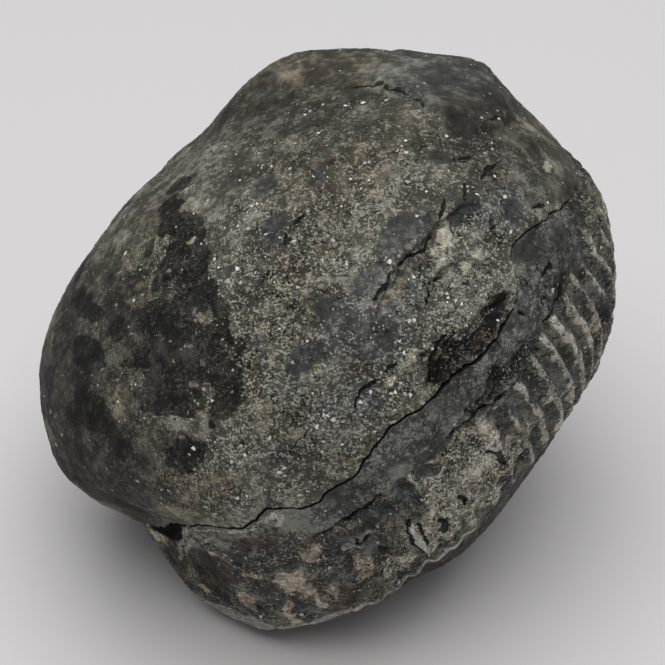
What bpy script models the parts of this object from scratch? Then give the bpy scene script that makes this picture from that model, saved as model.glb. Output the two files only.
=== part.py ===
"""A split ammonite nodule: a domed cap of matrix rock lying on the ribbed half that it broke from.

Metres, +Z up. The nodule rests on its worn foot, a flat at Z = 0 under its centre. Its long side runs along X
and its ribbed rim faces -Y. Places on it are given in degrees of its own leaning frame, whose XY plane is the
parting: turn runs round it from the worn end (0) past the front (90) to the crust end (180), and rise runs
from the parting (0) up to the crown of the cap (90) or down to the bottom of the ribbed half (-90).
"""

import math
from collections import namedtuple

import bmesh
import bpy
from mathutils import Matrix, Vector

MM = 0.001

# Driving dimensions
HALF_LENGTH = 35.0 * MM  # centre to the worn end, along the parting
HALF_WIDTH = 31.3 * MM  # centre to the front, along the parting
CAP_HEIGHT = 24.6 * MM  # parting to the crown
BASE_DEPTH = 31.2 * MM  # parting to the bottom, before the foot is worn off it
PARTING_GAP = 0.35 * MM
FOOT_DROP = 29.2 * MM  # the nodule's centre stands this high over the ground
LEAN = 33.7  # degrees between the parting and the ground
LEAN_HEADING = 169.9  # degrees from +X to the way that the crown leans
WORN_END_TURN = 31.9  # degrees from that way to the worn end, round the leaning axis

# The mesh of each half
FINENESS = 7  # subdivisions of the icosphere that it is shaped from
CAP_FACES_KEPT = 0.075  # share of the shaped faces that the Decimate modifier leaves
BASE_FACES_KEPT = 0.120
PARTING_RINGS = (0.94, 0.84, 0.66, 0.40, 0.15)  # rings of the broken face, as shares of its radius

# A swell is a rounded rise of the whole nodule, or a hollow where its height is negative. Its place and its
# reach along the turn and across it are in degrees.
Swell = namedtuple("Swell", "turn rise height along across")
SWELLS = (
    Swell(-138, 50, 3.1 * MM, 15, 16),  # crust lobe, its far end
    Swell(-160, 36, 2.0 * MM, 18, 15),  # crust lobe, its near end
    Swell(-175, 20, 1.5 * MM, 9, 8),  # corner of the crust lobe
    Swell(174, 9, -0.9 * MM, 8, 9),  # saddle between crust and rim
    Swell(-85, 70, -0.8 * MM, 16, 14),  # dip beside the crust lobe
    Swell(-13, 26, 1.2 * MM, 18, 20),  # shoulder over the worn end
    Swell(3, 7, 0.8 * MM, 9, 9),  # lip of the cap at the worn end
    Swell(20, -6, -4.0 * MM, 22, 16),  # worn end
    Swell(32, -39, 2.6 * MM, 20, 17),  # heel
    Swell(13, -27, 1.8 * MM, 10, 9),  # corner of the heel
    Swell(3, -14, 0.8 * MM, 9, 8),  # lip under the hollow
    Swell(76, -54, 1.5 * MM, 18, 13),  # rounded lower rim
    Swell(112, -38, -1.2 * MM, 18, 16),  # flattened underside of the ribs
    Swell(164, -14, 0.7 * MM, 15, 15),  # full right rim
    Swell(-35, -60, 1.4 * MM, 30, 25),  # boss that the foot is worn on
)

# The parting wanders up and down the rim in waves: where, how far in degrees of rise, and their reach.
Wave = namedtuple("Wave", "turn rise reach")
PARTING_WAVES = (
    Wave(16, -7.4, 12),
    Wave(51, -2.4, 5.5),
    Wave(58, 1.2, 1.8),
    Wave(66, -3.3, 6.5),
    Wave(75.5, -2.2, 5.5),
    Wave(89, 1.3, 6),
    Wave(102, 0.9, 7),
    Wave(112, -0.6, 4),
    Wave(120, 0.9, 5),
    Wave(130.5, 5.6, 5),
    Wave(138, 6.2, 9),
    Wave(148, 1.2, 5),
    Wave(180, -1.5, 14),
    Wave(-120, -2.0, 22),
    Wave(-60, 2.5, 25),
)
PARTING_BLEND = 32.0  # degrees of rise over which a wave dies away into the body

# Ribs of the last whorl. They cross the rim side by side, so in degrees of turn they spread apart lower down.
RIB_CREST = 113.6  # turn of one crest, under the ledge
RIB_PITCH = 5.1
RIB_HEIGHT = 0.65 * MM
RIBS_FROM, RIBS_TO = 42.0, 300.0
RIB_BOTTOM = -47.0
RIB_MIDDLE = 95.0  # the turn at which a rib runs straight down
RIB_SPREAD = 0.012  # share by which they spread, for each degree under the ledge
RIB_SPREAD_REACH = 60.0

# The smooth layer that still covers the rim between the parting and the ribs, and the ledge that it ends in.
LEDGE_RISE = -10.0
LEDGE_CLIMB, LEDGE_CLIMB_FROM = 6.5, 114.0  # it climbs this far towards the crust end
LEDGE_SLOPE = 0.6  # degrees of rise to either side of its edge
LEDGE_DROP = 0.7 * MM
LEDGE_FROM, LEDGE_TO = 56.0, 158.0
UNDERSIDE_DROP = 1.0 * MM  # step in to the smooth underside, below the ribs

# The end of the ribbed half is broken away under the cap, which leaves a dark hollow between the halves.
END_HOLLOW = Swell(-14, -7, -3.2 * MM, 24, 11)
NOTCH_FROM, NOTCH_TO = 39.0, -48.0  # turns between which its edge is broken down
NOTCH_FADE = 18.0  # degrees of turn over which the break deepens, from either side
NOTCH_DROP = 7.0  # degrees of rise that the edge is lowered by
NOTCH_INNER_RING = 0.80  # the break reaches in to this share of the radius

PIT_IN_LAYER = Swell(111, -5.5, -0.9 * MM, 3.4, 2.0)
HOLLOW_BY_CRUST = Swell(151, 27.5, -1.2 * MM, 4.5, 3.5)
CRUST_PLATE = Swell(173, 30, 0.7 * MM, 20, 13)  # height of its edge, and its reach to that edge
EDGE_CHIP = Swell(112, 1.0, 1.3 * MM, 15, 5.5)  # depth of its edge, and its reach to that edge, as the scars'
FLAKE_SCARS = (Swell(117, 19, 0.6 * MM, 17, 5), Swell(115, 12, 0.6 * MM, 9, 5))


def ramp(value, start, end):
    """0 before start and 1 past end, with a smooth rise between them. It falls where end is below start."""
    share = min(max((value - start) / (end - start), 0.0), 1.0)
    return share * share * (3.0 - 2.0 * share)


def turn_between(turn, other):
    """The signed angle from other to turn, in degrees."""
    return (turn - other + 180.0) % 360.0 - 180.0


def direction_at(turn, rise):
    turn, rise = math.radians(turn), math.radians(rise)
    level = math.cos(rise)
    return Vector((level * math.cos(turn), level * math.sin(turn), math.sin(rise)))


def swell_reach(swell, turn, rise):
    """How far a place lies from a swell's middle, as a share of the swell's reach."""
    place = direction_at(turn, rise)
    middle = direction_at(swell.turn, swell.rise)
    ahead = place.dot(middle)
    if ahead <= 0.0:
        return math.inf
    along = direction_at(swell.turn + 90.0, 0.0)
    across = middle.cross(along)
    return math.hypot(
        math.degrees(math.atan2(place.dot(along), ahead)) / swell.along,
        math.degrees(math.atan2(place.dot(across), ahead)) / swell.across,
    )


def swelling(swell, turn, rise):
    return swell.height * math.exp(-(swell_reach(swell, turn, rise) ** 2))


def body_radius(turn, rise):
    """The worn nodule with no relief: two half ellipsoids and their swells."""
    x, y, z = direction_at(turn, rise)
    height = CAP_HEIGHT if z > 0.0 else BASE_DEPTH
    smooth = 1.0 / math.sqrt((x / HALF_LENGTH) ** 2 + (y / HALF_WIDTH) ** 2 + (z / height) ** 2)
    return smooth + sum(swelling(swell, turn, rise) for swell in SWELLS)


def parting_rise(turn):
    return sum(
        wave.rise * math.exp(-((turn_between(turn, wave.turn) / wave.reach) ** 2)) for wave in PARTING_WAVES
    )


def cap_relief(turn, rise):
    """The crust plate with its hollow, the flake scars, and the chip along the parting."""
    edge = swell_reach(CRUST_PLATE, turn, rise)
    relief = CRUST_PLATE.height * ramp(edge, 1.06, 0.94)
    relief += swelling(HOLLOW_BY_CRUST, turn, rise)
    relief -= EDGE_CHIP.height * ramp(swell_reach(EDGE_CHIP, turn, rise), 1.0, 0.8)
    for scar in FLAKE_SCARS:
        deepening = ramp(rise, scar.rise - scar.across, scar.rise + 0.7 * scar.across)
        relief -= scar.height * deepening * ramp(swell_reach(scar, turn, rise), 1.0, 0.85)
    return relief


def rib_relief(turn, rise):
    """Rounded ribs with narrower grooves, which fade out at both ends and towards the underside."""
    turn = turn % 360.0
    spread = 1.0 + RIB_SPREAD * max(LEDGE_RISE - rise, 0.0)
    aside = RIB_SPREAD_REACH * math.tanh((turn - RIB_MIDDLE) / RIB_SPREAD_REACH)
    phase = (turn - aside * (1.0 - 1.0 / spread) - RIB_CREST) / RIB_PITCH
    crest = (0.5 + 0.5 * math.cos(math.tau * phase)) ** 0.75
    fade = ramp(turn, RIBS_FROM, RIBS_FROM + 25.0) * ramp(turn, RIBS_TO, RIBS_TO - 60.0)
    return RIB_HEIGHT * crest * fade * ramp(rise, RIB_BOTTOM, RIB_BOTTOM + 8.0)


def base_relief(turn, rise):
    """The smooth layer with its ledge, the ribs below it, the step to the underside, and the broken end."""
    layer = ramp(turn, LEDGE_FROM, LEDGE_FROM + 12.0) * ramp(turn, LEDGE_TO, LEDGE_TO - 8.0)
    ledge = LEDGE_RISE + LEDGE_CLIMB * ramp(turn, LEDGE_CLIMB_FROM, LEDGE_TO)
    below = ramp(rise, ledge + LEDGE_SLOPE, ledge - LEDGE_SLOPE)
    underside = ramp(rise, RIB_BOTTOM + 3.0, RIB_BOTTOM)
    relief = -LEDGE_DROP * layer * below * (1.0 - underside) - UNDERSIDE_DROP * underside
    relief += rib_relief(turn, rise) * (1.0 - layer + layer * below) * ramp(rise, -1.0, -5.0)
    return relief + swelling(PIT_IN_LAYER, turn, rise) + swelling(END_HOLLOW, turn, rise)


def cap_edge_drop(turn):
    return 0.0


def base_edge_drop(turn):
    """How far, in degrees of rise, the edge of the ribbed half is broken down into the hollow at its end."""
    from_front = ramp(turn, NOTCH_FROM, NOTCH_FROM - NOTCH_FADE)
    from_back = ramp(turn, NOTCH_TO, NOTCH_TO + NOTCH_FADE)
    return NOTCH_DROP * from_front * from_back


def surface_point(turn, rise, relief):
    return direction_at(turn, rise) * (body_radius(turn, rise) + relief(turn, rise))


def shaped(point, side, relief, edge_drop):
    """Moves a point of the closed half ball to its place on the half nodule."""
    turn = math.degrees(math.atan2(point.y, point.x))
    edge_rise = parting_rise(turn) - edge_drop(turn)
    ring = point.length
    if ring > 0.99:
        rise = math.degrees(math.asin(max(-1.0, min(1.0, point.z))))
        place = surface_point(turn, rise + edge_rise * ramp(abs(rise), PARTING_BLEND, 0.0), relief)
    else:
        whole_edge = surface_point(turn, parting_rise(turn), relief)
        place = Vector((whole_edge.x * ring, whole_edge.y * ring, whole_edge.z * ring * ring))
        broken = surface_point(turn, edge_rise, relief) - whole_edge
        place += broken * ramp(ring, NOTCH_INNER_RING, 1.0)
    return place + Vector((0.0, 0.0, side * PARTING_GAP / 2.0))


def half_ball(side):
    """Half an icosphere, closed by rings across its open face. side is 1 for the upper half or -1."""
    ball = bmesh.new()
    bmesh.ops.create_icosphere(ball, subdivisions=FINENESS, radius=1.0)
    geometry = ball.verts[:] + ball.edges[:] + ball.faces[:]
    bmesh.ops.bisect_plane(
        ball, geom=geometry, dist=1e-6, plane_co=(0, 0, 0), plane_no=(0, 0, side), clear_inner=True
    )
    edge_ring = [edge for edge in ball.edges if edge.is_boundary]
    for vert in {vert for edge in edge_ring for vert in edge.verts}:
        vert.co = Vector((vert.co.x, vert.co.y, 0.0)).normalized()
    for share in PARTING_RINGS:
        grown = bmesh.ops.extrude_edge_only(ball, edges=edge_ring)["geom"]
        for vert in grown:
            if isinstance(vert, bmesh.types.BMVert):
                vert.co = vert.co.normalized() * share
        edge_ring = [edge for edge in grown if isinstance(edge, bmesh.types.BMEdge) and edge.is_boundary]
    middle = ball.verts.new((0.0, 0.0, 0.0))
    for edge in edge_ring:
        ball.faces.new((*edge.verts, middle))
    bmesh.ops.recalc_face_normals(ball, faces=ball.faces)
    return ball


def stone(name, colour, roughness):
    material = bpy.data.materials.new(name)
    material.use_nodes = True
    surface = material.node_tree.nodes["Principled BSDF"]
    surface.inputs["Base Color"].default_value = (*colour, 1.0)
    surface.inputs["Roughness"].default_value = roughness
    surface.inputs["Metallic"].default_value = 0.0
    return material


def half_nodule(name, side, relief, edge_drop, material, faces_kept):
    ball = half_ball(side)
    for vert in ball.verts:
        vert.co = shaped(vert.co, side, relief, edge_drop)
    mesh = bpy.data.meshes.new(name)
    ball.to_mesh(mesh)
    ball.free()
    mesh.materials.append(material)
    mesh.shade_smooth()
    half = bpy.data.objects.new(name, mesh)
    bpy.context.scene.collection.objects.link(half)
    lighter = half.modifiers.new("Fewer faces", "DECIMATE")
    lighter.ratio = faces_kept
    lighter.use_collapse_triangulate = True
    return half


def ground_cutter():
    """A block under the ground, which wears the foot flat."""
    mesh = bpy.data.meshes.new("ground")
    block = bmesh.new()
    bmesh.ops.create_cube(block, size=4.0 * HALF_LENGTH)
    bmesh.ops.translate(block, verts=block.verts, vec=(0.0, 0.0, -2.0 * HALF_LENGTH))
    block.to_mesh(mesh)
    block.free()
    ground = bpy.data.objects.new("ground", mesh)
    bpy.context.scene.collection.objects.link(ground)
    ground.hide_render = True
    ground.display_type = "WIRE"
    return ground


for old in list(bpy.data.objects):
    bpy.data.objects.remove(old)

nodule = bpy.data.objects.new("nodule", None)
bpy.context.scene.collection.objects.link(nodule)
nodule.location = (0.0, 0.0, FOOT_DROP)
nodule.rotation_mode = "QUATERNION"
nodule.rotation_quaternion = (
    Matrix.Rotation(math.radians(LEAN_HEADING), 3, "Z")
    @ Matrix.Rotation(math.radians(LEAN), 3, "Y")
    @ Matrix.Rotation(math.radians(WORN_END_TURN), 3, "Z")
).to_quaternion()

cap_stone = stone("cap stone", (0.085, 0.083, 0.075), 0.68)
rib_stone = stone("rib stone", (0.110, 0.102, 0.088), 0.72)
matrix_cap = half_nodule("matrix_cap", 1, cap_relief, cap_edge_drop, cap_stone, CAP_FACES_KEPT)
ribbed_half = half_nodule("ribbed_half", -1, base_relief, base_edge_drop, rib_stone, BASE_FACES_KEPT)
for half in (matrix_cap, ribbed_half):
    half.parent = nodule

worn_foot = ribbed_half.modifiers.new("Worn foot", "BOOLEAN")
worn_foot.operation = "DIFFERENCE"
worn_foot.solver = "EXACT"
worn_foot.object = ground_cutter()
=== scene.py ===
"""The looks of a split ammonite nodule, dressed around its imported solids.

Metres, +Z up. Places on the stone are given in degrees of its own leaning frame, whose XY plane is the
parting between the two halves: turn runs round it from the worn end (0) past the front (90) to the crust
end (180), and rise runs from the parting (0) up to the crown of the cap (90) or down to the bottom of the
ribbed half (-90).
"""

import math
from collections import namedtuple

import bmesh
import bpy
import numpy as np
from mathutils import Matrix, Vector, noise


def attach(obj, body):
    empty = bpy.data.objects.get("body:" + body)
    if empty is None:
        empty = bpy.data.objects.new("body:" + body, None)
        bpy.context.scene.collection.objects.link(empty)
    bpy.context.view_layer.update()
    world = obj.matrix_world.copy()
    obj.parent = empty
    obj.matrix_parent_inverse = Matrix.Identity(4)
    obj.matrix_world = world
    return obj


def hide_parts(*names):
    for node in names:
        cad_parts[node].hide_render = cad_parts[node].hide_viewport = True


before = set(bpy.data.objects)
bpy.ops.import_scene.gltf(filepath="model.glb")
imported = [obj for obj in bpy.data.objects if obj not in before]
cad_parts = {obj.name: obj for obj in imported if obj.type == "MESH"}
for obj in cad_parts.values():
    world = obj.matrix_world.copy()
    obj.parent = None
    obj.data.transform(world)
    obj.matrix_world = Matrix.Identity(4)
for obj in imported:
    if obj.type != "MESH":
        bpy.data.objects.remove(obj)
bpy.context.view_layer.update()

# ----------------------------------------------------------------------------------------------------------
# Ribbed half: the lower half of the nodule, a worn slab of matrix rock with the last whorl of an ammonite
# in its rim, where dark shell, pale worn ribs with a painted highlight on their crests and tan matrix show.
# The underside is worn smooth, with a flat worn foot to lie on, and the upper face is the rough parting that
# the nodule split along.

MM = 0.001
HALF_LENGTH = 35.0 * MM
HALF_WIDTH = 31.3 * MM
CAP_HEIGHT = 24.6 * MM
BASE_DEPTH = 31.2 * MM  # from the parting to the bottom, before the foot is worn off it
FOOT_DROP = 29.2 * MM  # the nodule's middle stands this high over the ground
LEAN, LEAN_HEADING, WORN_END_TURN = 33.7, 169.9, 31.9

FINENESS = 8  # subdivisions of the icosphere that each half is shaped from
FRONT_TURN = 100.0  # the mesh is drawn together towards this turn, where the relief is finest
GATHERING = 0.42
SKIN_FROM = 0.997  # a point of the half ball is skin past this ring, and broken face inside it
PARTING_RINGS = (0.994, 0.975, 0.93, 0.85, 0.74, 0.58, 0.38, 0.18)
PARTING_LUMPS = 0.25 * MM  # roughness of the broken face
PARTING_GAP = 0.33 * MM
NARROWING, NARROWS_FROM = 0.13 * MM, 118.0  # how much narrower the gap is past this turn
HAIRLINE = 0.04 * MM  # the parting closes to this at the crust end
HAIRLINE_MIDDLE, HAIRLINE_REACH = 182.0, 33.0
GAP_FADE = 8.0  # the gap changes its width over this much turn

Swell = namedtuple("Swell", "turn rise height along across")
SWELLS = (
    Swell(-138, 50, 3.1 * MM, 15, 16),  # crust lobe, its far end
    Swell(-160, 36, 2.0 * MM, 18, 15),  # crust lobe, its near end
    Swell(-175, 20, 1.5 * MM, 9, 8),  # corner of the crust lobe
    Swell(174, 9, -0.9 * MM, 8, 9),  # saddle between crust and rim
    Swell(-85, 70, -0.8 * MM, 16, 14),  # dip beside the crust lobe
    Swell(-13, 26, 1.2 * MM, 18, 20),  # shoulder over the worn end
    Swell(3, 7, 0.8 * MM, 9, 9),  # lip of the cap at the worn end
    Swell(20, -6, -4.0 * MM, 22, 16),  # worn end
    Swell(32, -39, 2.6 * MM, 20, 17),  # heel
    Swell(13, -27, 1.8 * MM, 10, 9),  # corner of the heel
    Swell(3, -14, 0.8 * MM, 9, 8),  # lip under the hollow
    Swell(76, -54, 1.5 * MM, 18, 13),  # rounded lower rim
    Swell(112, -38, -1.2 * MM, 18, 16),  # flattened underside of the ribs
    Swell(164, -14, 0.7 * MM, 15, 15),  # full right rim
    Swell(-35, -60, 1.4 * MM, 30, 25),  # boss that the foot is worn on
)

Wave = namedtuple("Wave", "turn rise reach")
PARTING_WAVES = (
    Wave(16, -7.4, 12),
    Wave(51, -2.4, 5.5),
    Wave(58, 1.2, 1.8),
    Wave(66, -3.3, 6.5),
    Wave(75.5, -2.2, 5.5),
    Wave(89, 1.3, 6),
    Wave(102, 0.9, 7),
    Wave(112, -0.6, 4),
    Wave(120, 0.9, 5),
    Wave(130.5, 5.6, 5),
    Wave(138, 6.2, 9),
    Wave(148, 1.2, 5),
    Wave(180, -1.5, 14),
    Wave(-120, -2.0, 22),
    Wave(-60, 2.5, 25),
)
PARTING_BLEND = 32.0  # the skin is drawn along with the parting's course up to this rise
PARTING_JAGGED = 0.65  # degrees


def ramp(value, start, end):
    """0 before start and 1 past end, with a smooth rise between them. It falls where end is below start."""
    share = np.clip((value - start) / (end - start), 0.0, 1.0)
    return share * share * (3.0 - 2.0 * share)


def turn_between(turn, other):
    """How far turn lies ahead of the other, from -180 to 180."""
    return (turn - other + 180.0) % 360.0 - 180.0


def directions(turn, rise):
    """Unit vectors from the nodule's middle towards those places."""
    turn, rise = np.radians(turn), np.radians(rise)
    x, y = np.cos(rise) * np.cos(turn), np.cos(rise) * np.sin(turn)
    return np.stack((x, y, np.sin(rise) + 0.0 * turn), -1)


def reach(patch, turn, rise):
    """How far places lie from a patch's middle, as a share of its reach along the turn and across it."""
    places = directions(turn, rise)
    middle, along = directions(patch.turn, patch.rise), directions(patch.turn + 90.0, 0.0)
    ahead = places @ middle
    return np.hypot(
        np.degrees(np.arctan2(places @ along, ahead)) / patch.along,
        np.degrees(np.arctan2(places @ np.cross(middle, along), ahead)) / patch.across,
    )


def swelling(swell, turn, rise):
    return swell.height * np.exp(-reach(swell, turn, rise) ** 2)


def body_radius(turn, rise):
    """How far the worn body, without its fine relief, reaches from the nodule's middle."""
    x, y, z = directions(turn, rise).T
    depth = np.where(z > 0.0, CAP_HEIGHT, BASE_DEPTH)
    smooth = 1.0 / np.sqrt((x / HALF_LENGTH) ** 2 + (y / HALF_WIDTH) ** 2 + (z / depth) ** 2)
    return smooth + sum(swelling(swell, turn, rise) for swell in SWELLS)


def parting_rise(turn):
    """The course of the parting round the nodule."""
    course = 0.0
    for wave in PARTING_WAVES:
        course = course + wave.rise * np.exp(-(turn_between(turn, wave.turn) / wave.reach) ** 2)
    return course + PARTING_JAGGED * rough(turn, 0.0 * turn, 2.0 * MM, 3)


def rough(turn, rise, size, octaves, basis="PERLIN_ORIGINAL"):
    """Fractal noise over the body, from about -1 to 1, with lumps of that size in metres."""
    places = (directions(turn, rise) * (HALF_WIDTH / size)).tolist()
    return np.array([noise.fractal(place, 1.0, 2.0, octaves, noise_basis=basis) for place in places])


noise.seed_set(3)  # without it the clock would seed the pushes, and no two runs would give the same stone


def wavered(turn, rise, size, swing):
    """The same places pushed about by up to swing degrees, so that what is drawn there has a broken edge."""
    unit = directions(turn, rise)
    places = unit * (HALF_WIDTH / size)
    pushes = np.array([noise.turbulence_vector(place, 3, False) for place in places.tolist()])
    x, y, z = (unit + math.radians(swing) * pushes).T
    return np.degrees(np.arctan2(y, x)), np.degrees(np.arctan2(z, np.hypot(x, y)))


def fine_wear(turn, rise):
    """The small lumps and hollows of the worn stone; the colour copies them as painted light and shade."""
    return 0.5 * rough(turn, rise, 2.6 * MM, 2) - 0.6 * rough(turn, rise, 0.9 * MM, 1, "VORONOI_F1")


WORN_LUMPS, WORN_GRAIN, WORN_PITS = 0.26 * MM, 0.12 * MM, 0.16 * MM


def weathering(turn, rise):
    """The shallow lumps and pits that wear leaves all over both halves."""
    pits = WORN_PITS * ramp(rough(turn, rise, 1.9 * MM, 2), 0.3, 0.8)
    return WORN_LUMPS * rough(turn, rise, 8.0 * MM, 2) + WORN_GRAIN * fine_wear(turn, rise) - pits


def half_ball(side):
    """Half an icosphere, closed by rings across its open face. side is 1 for the upper half or -1."""
    ball = bmesh.new()
    bmesh.ops.create_icosphere(ball, subdivisions=FINENESS, radius=1.0)
    geometry = ball.verts[:] + ball.edges[:] + ball.faces[:]
    bmesh.ops.bisect_plane(
        ball, geom=geometry, dist=1e-6, plane_co=(0, 0, 0), plane_no=(0, 0, side), clear_inner=True
    )
    edge_ring = [edge for edge in ball.edges if edge.is_boundary]
    for vert in {vert for edge in edge_ring for vert in edge.verts}:
        vert.co = Vector((vert.co.x, vert.co.y, 0.0)).normalized()
    for share in PARTING_RINGS:
        grown = bmesh.ops.extrude_edge_only(ball, edges=edge_ring)["geom"]
        for vert in grown:
            if isinstance(vert, bmesh.types.BMVert):
                vert.co = vert.co.normalized() * share
        edge_ring = [edge for edge in grown if isinstance(edge, bmesh.types.BMEdge) and edge.is_boundary]
    middle = ball.verts.new((0.0, 0.0, 0.0))
    for edge in edge_ring:
        ball.faces.new((*edge.verts, middle))
    bmesh.ops.recalc_face_normals(ball, faces=ball.faces)
    return ball


def gathered(points):
    """The half ball's points, drawn together towards the front of the rim."""
    ring = np.linalg.norm(points, axis=1, keepdims=True)
    unit = points / np.maximum(ring, 1e-9)
    front = directions(FRONT_TURN, 0.0)
    ahead = np.clip(unit @ front, -1.0, 1.0)[:, None]
    angle = np.arccos(ahead)
    closer = angle - GATHERING * np.sin(angle)
    aside = (unit - ahead * front) * np.sin(closer) / np.maximum(np.sin(angle), 1e-6)
    return ring * (np.cos(closer) * front + aside)


def surface(turn, rise, relief):
    """Places on the skin, in the nodule's own leaning frame."""
    return directions(turn, rise) * (body_radius(turn, rise) + relief(turn, rise))[:, None]


def half_nodule(name, side, relief, edge_drop, fields, material):
    """One half as a mesh object, with its relief in the mesh and its fields of colour as attributes."""
    ball = half_ball(side)
    mesh = bpy.data.meshes.new(name)
    ball.to_mesh(mesh)
    ball.free()
    points = np.empty(len(mesh.vertices) * 3, np.float32)
    mesh.vertices.foreach_get("co", points)
    points = gathered(points.reshape(-1, 3).astype(float))
    ring = np.linalg.norm(points, axis=1)
    skin = ring > SKIN_FROM
    turn = np.degrees(np.arctan2(points[:, 1], points[:, 0]))
    edge_rise = parting_rise(turn) - edge_drop(turn)
    rise = np.degrees(np.arcsin(np.clip(points[:, 2], -1.0, 1.0)))
    rise += edge_rise * ramp(np.abs(rise), PARTING_BLEND, 0.0)

    places = np.empty_like(points)
    places[skin] = surface(turn[skin], rise[skin], relief)
    inner, share = turn[~skin], ring[~skin, None]
    whole = surface(inner, parting_rise(inner), relief)
    broken = surface(inner, edge_rise[~skin], relief)
    places[~skin] = whole * np.hstack((share, share, share**2)) + (broken - whole) * ramp(share, 0.80, 1.0)
    lumps = rough(inner, 90.0 * (1 - ring[~skin]), 3 * MM, 4)
    places[~skin, 2] += PARTING_LUMPS * ramp(ring[~skin], 1.0, 0.9) * lumps
    from_hairline = np.abs(turn_between(turn, HAIRLINE_MIDDLE))
    opened = ramp(from_hairline, HAIRLINE_REACH - GAP_FADE, HAIRLINE_REACH)
    gap = PARTING_GAP - NARROWING * ramp(turn, NARROWS_FROM, NARROWS_FROM + GAP_FADE)
    places[:, 2] += side * (HAIRLINE + (gap - HAIRLINE) * opened) / 2.0

    lean = (
        Matrix.Rotation(math.radians(LEAN_HEADING), 3, "Z")
        @ Matrix.Rotation(math.radians(LEAN), 3, "Y")
        @ Matrix.Rotation(math.radians(WORN_END_TURN), 3, "Z")
    )
    places = places @ np.array(lean).T + np.array((0.0, 0.0, FOOT_DROP))
    places[:, 2] = np.maximum(places[:, 2], 0.0)
    mesh.vertices.foreach_set("co", places.astype(np.float32).ravel())
    for label, values in fields(turn, rise).items():
        attribute = mesh.attributes.new(label, "FLOAT", "POINT")
        attribute.data.foreach_set("value", np.where(skin, values, 0.0).astype(np.float32))
    # the wear field also paints light and shade: lighter on the small lumps and darker in their hollows
    for label, values in (("shaded broken face", ramp(ring, 1.0, 0.996)), ("wear", fine_wear(turn, rise))):
        attribute = mesh.attributes.new(label, "FLOAT", "POINT")
        attribute.data.foreach_set("value", values.astype(np.float32))
    mesh.materials.append(material)
    mesh.shade_smooth()
    mesh.update()
    half = bpy.data.objects.new(name, mesh)
    bpy.context.scene.collection.objects.link(half)
    return half


# Ribs of the last whorl: the turn of each crest under the ledge
RIB_CRESTS = (42.0, 48.0, 54.0, 59.5, 65.0, 70.0, 75.3, 80.4, 85.1, 90.5, 96.5, 102.6, 108.7, 113.6, 119.2,
              123.6, 128.7, 133.7, 138.6, 143.7)
RIB_PITCH = 5.1
RIB_HEIGHT = 0.75 * MM
RIBS_FROM, RIBS_FULL_FROM, RIBS_FULL_TO, RIBS_TO = 42.0, 67.0, 240.0, 300.0
RIB_BOTTOM, RIB_FULL_BOTTOM = -47.0, -39.0
RIB_MIDDLE, RIB_SPREAD, RIB_SPREAD_REACH = 95.0, 0.012, 60.0  # the ribs fan out to both sides of this turn
RIB_SHARPNESS, PALE_STRIPE_SHARPNESS = 0.9, 2.2  # the whole rib, and the pale stripe along its crest, worn pale with a painted highlight on it

LEDGE_LINE = (
    (56, -11.0), (62, -10.6), (72, -10.4), (80, -9.8), (82.5, -9.2), (85, -10.0), (91, -10.5),
    (94, -9.8), (98, -8.6), (104, -8.9), (107, -9.6), (109, -10.6), (114, -10.8), (118, -10.4),
    (120, -8.8), (123, -7.6), (127, -6.6), (132, -6.2), (136, -4.4), (139, -6.5), (143.5, -7.5),
    (147, -3.6), (150, -0.8), (158, 0.0),
)
LEDGE_DROP = 0.7 * MM
LEDGE_JAGGED, LEDGE_SOFTNESS = 1.3, 0.5  # degrees
LAYER_FROM, LAYER_FULL_FROM, LAYER_FULL_TO, LAYER_TO = 56.0, 68.0, 145.0, 153.0
UNDERSIDE_FROM, UNDERSIDE_DROP = -44.0, 1.0 * MM

END_HOLLOW = Swell(-14, -7, -3.2 * MM, 24, 11)
NOTCH_FROM, NOTCH_TO, NOTCH_FADE, NOTCH_DROP = 38.0, -48.0, 16.0, 4.4


def rib_phase(turn, rise):
    """Which rib a place lies on, as a running number: whole on a crest and half way between in a groove."""
    turn = turn % 360.0
    spread = 1.0 + RIB_SPREAD * np.maximum(-10.0 - rise, 0.0)
    aside = RIB_SPREAD_REACH * np.tanh((turn - RIB_MIDDLE) / RIB_SPREAD_REACH)
    under_ledge = turn - aside * (1.0 - 1.0 / spread)
    beyond = RIB_CRESTS[-1] + RIB_PITCH * np.arange(1, 40)
    crests = np.concatenate((RIB_CRESTS, beyond))
    return np.interp(under_ledge, crests, np.arange(len(crests)))


def rib_crest(turn, rise, sharpness):
    """1 on the crests of the ribs and 0 in the grooves, faded out at both ends and towards the underside."""
    turn = turn % 360.0
    crest = (0.5 + 0.5 * np.cos(2.0 * np.pi * rib_phase(turn, rise))) ** sharpness
    fade = ramp(turn, RIBS_FROM, RIBS_FULL_FROM) * ramp(turn, RIBS_TO, RIBS_FULL_TO)
    return crest * fade * ramp(rise, RIB_BOTTOM, RIB_FULL_BOTTOM)


def layer_and_below(turn, rise):
    """How far a place lies in the stretch with the smooth layer, and how far below the layer's ledge."""
    turn = turn % 360.0
    layer = ramp(turn, LAYER_FROM, LAYER_FULL_FROM) * ramp(turn, LAYER_TO, LAYER_FULL_TO)
    ledge = np.interp(turn, *zip(*LEDGE_LINE))
    jagged = LEDGE_JAGGED * rough(turn, rise, 1.6 * MM, 3)
    return layer, ramp(rise + jagged, ledge + LEDGE_SOFTNESS, ledge - LEDGE_SOFTNESS)


Patch = namedtuple("Patch", "turn rise along across strength")
Line = namedtuple("Line", "points width")


def patches(*rows):
    return tuple(Patch(*row) for row in rows)


def patched(group, turn, rise):
    """The strongest of a group of soft patches at each place."""
    found = np.zeros(len(turn))
    for patch in group:
        found = np.maximum(found, patch.strength * np.exp(-reach(patch, turn, rise) ** 2))
    return found


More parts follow.
